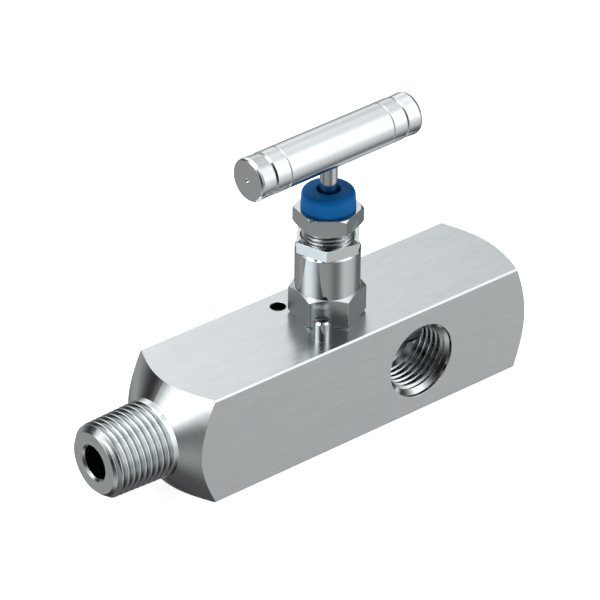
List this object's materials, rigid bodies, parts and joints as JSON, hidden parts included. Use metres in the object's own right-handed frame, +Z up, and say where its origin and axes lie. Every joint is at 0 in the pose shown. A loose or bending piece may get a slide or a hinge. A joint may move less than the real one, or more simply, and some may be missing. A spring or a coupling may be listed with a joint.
{
  "type": "needle valve",
  "caption": "Bar-stock needle valve with a male taper-thread inlet, tapped side and end outlets, a screwed bonnet and a T-handle.",
  "frame": {"origin": "on the bar's flat base, straight under the stem's axis", "axes": "+X along the flow from the threaded inlet to the end outlet, +Z up along the stem, -Y towards the front outlet"},
  "size_m": [0.1366, 0.032, 0.089],
  "materials": {
    "brushed_stainless": "fine grain along the bar",
    "polished_stainless": "polished",
    "satin_stainless": "satin",
    "turned_stainless": "turned",
    "black_steel": "black oxide",
    "copper_gasket": "soft copper",
    "ptfe": "matt white",
    "black_rubber": "matt",
    "blue_plastic": "semi-gloss"
  },
  "bodies": {
    "valve": {"valve_body": "brushed_stainless", "seat_ring": "turned_stainless", "seat_gasket": "ptfe", "bonnet": "polished_stainless", "bonnet_seal_ring": "copper_gasket", "bonnet_lock_pin": "polished_stainless", "packing_washer": "turned_stainless", "packing_ring_lower": "ptfe", "packing_ring_middle": "ptfe", "packing_ring_upper": "ptfe", "gland_bush": "turned_stainless"},
    "needle": {"needle_tip": "turned_stainless", "thrust_ball": "polished_stainless", "needle_retaining_ring": "turned_stainless"},
    "stem_and_handle": {"stem": "polished_stainless", "t_handle": "satin_stainless", "handle_set_screw": "black_steel"},
    "cap": {"dust_cap": "blue_plastic"},
    "bolt": {"packing_bolt": "polished_stainless", "stem_wiper": "black_rubber"},
    "nut": {"lock_nut": "polished_stainless"}
  },
  "joints": [
    {"name": "needle_lift", "type": "slide", "parent": "valve", "child": "needle", "axis": [0, 0, 1], "range_m": [0, 0.004]},
    {"name": "stem_turn", "type": "hinge", "parent": "needle", "child": "stem_and_handle", "pos_m": [0, 0, 0.083], "axis": [0, 0, 1], "range_deg": [0, 1350]},
    {"name": "packing_bolt_lift", "type": "slide", "parent": "valve", "child": "cap", "axis": [0, 0, 1], "range_m": [0, 0.0027]},
    {"name": "packing_bolt_turn", "type": "hinge", "parent": "cap", "child": "bolt", "pos_m": [0, 0, 0.06], "axis": [0, 0, 1], "range_deg": [0, 720]},
    {"name": "lock_nut_turn", "type": "hinge", "parent": "bolt", "child": "nut", "pos_m": [0, 0, 0.0545], "axis": [0, 0, 1], "range_deg": [0, 90]}
  ],
  "couplings": [
    {"joint": "needle_lift", "follows": "stem_turn", "m_per_rad": 0.00015915},
    {"joint": "packing_bolt_lift", "follows": "packing_bolt_turn", "m_per_rad": 0.00019894}
  ]
}
